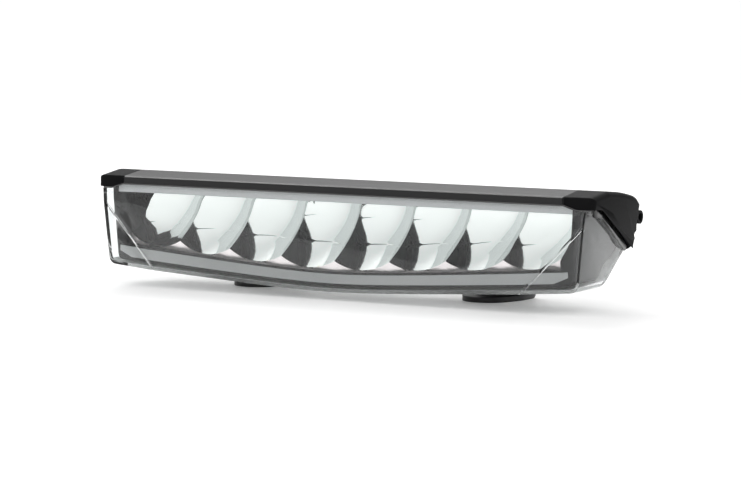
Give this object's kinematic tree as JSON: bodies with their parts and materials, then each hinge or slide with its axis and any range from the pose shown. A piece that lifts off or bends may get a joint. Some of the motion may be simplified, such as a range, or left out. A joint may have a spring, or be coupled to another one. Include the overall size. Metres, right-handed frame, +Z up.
{
  "type": "driving light",
  "caption": "Slim car driving light with one row of top-lit reflector bowls behind a clear wrap-round lens, a lower light strip, finned housing and two feet.",
  "frame": {"origin": "on the ground plane under the feet, at the middle of the lamp's width and depth", "axes": "+X along the lamp to the viewer's right, +Y from the lens towards the fins, +Z up from the feet"},
  "size_m": [0.533, 0.1162, 0.1088],
  "materials": {
    "black_aluminium": "satin black coating on extruded aluminium",
    "cast_black": "fine-grained black coating on cast aluminium",
    "rubber_black": "matt black rubber",
    "screw_black": "dark coated steel",
    "clear_lens": "clear moulded plastic",
    "bezel_black": "glossy black plastic",
    "trim_grey": "grey satin plastic",
    "reflector_bright": "bright metallised plastic",
    "steel": "plain steel",
    "board_white": "white lacquered board",
    "emitter_yellow": "yellow emitter with a clear dome",
    "board_green": "green lacquered board",
    "component_dark": "moulded dark component",
    "component_metal": "bright can",
    "connector_ivory": "ivory plastic",
    "guide_grey": "grey milky light guide",
    "inlet_black": "black plastic",
    "bracket_black": "satin black coating on bent steel"
  },
  "bodies": {
    "root": {"housing": "black_aluminium", "end_cap_left": "cast_black", "end_cap_right": "cast_black", "end_gasket_left": "rubber_black", "end_gasket_right": "rubber_black", "end_cap_screws": "screw_black", "lens_cover": "clear_lens", "lens_gasket": "rubber_black", "inner_bezel": "bezel_black", "upper_trim": "trim_grey", "reflector_bank": "reflector_bright", "reflector_screws": "steel", "led_board": "board_white", "led_emitters": "emitter_yellow", "led_board_screws": "steel", "driver_board": "board_green", "driver_inductors": "component_dark", "driver_capacitors": "component_metal", "driver_chips": "component_dark", "board_link": "connector_ivory", "position_light_guide": "guide_grey", "position_light_board": "board_white", "position_light_leds": "emitter_yellow", "vent_plug": "inlet_black", "cable_gland": "inlet_black", "gland_nut": "inlet_black", "gland_bush": "rubber_black", "gland_locknut": "steel", "bracket_left": "bracket_black", "bracket_right": "bracket_black", "bracket_bolts": "screw_black", "bracket_washers": "steel", "channel_nuts": "steel"}
  },
  "joints": []
}
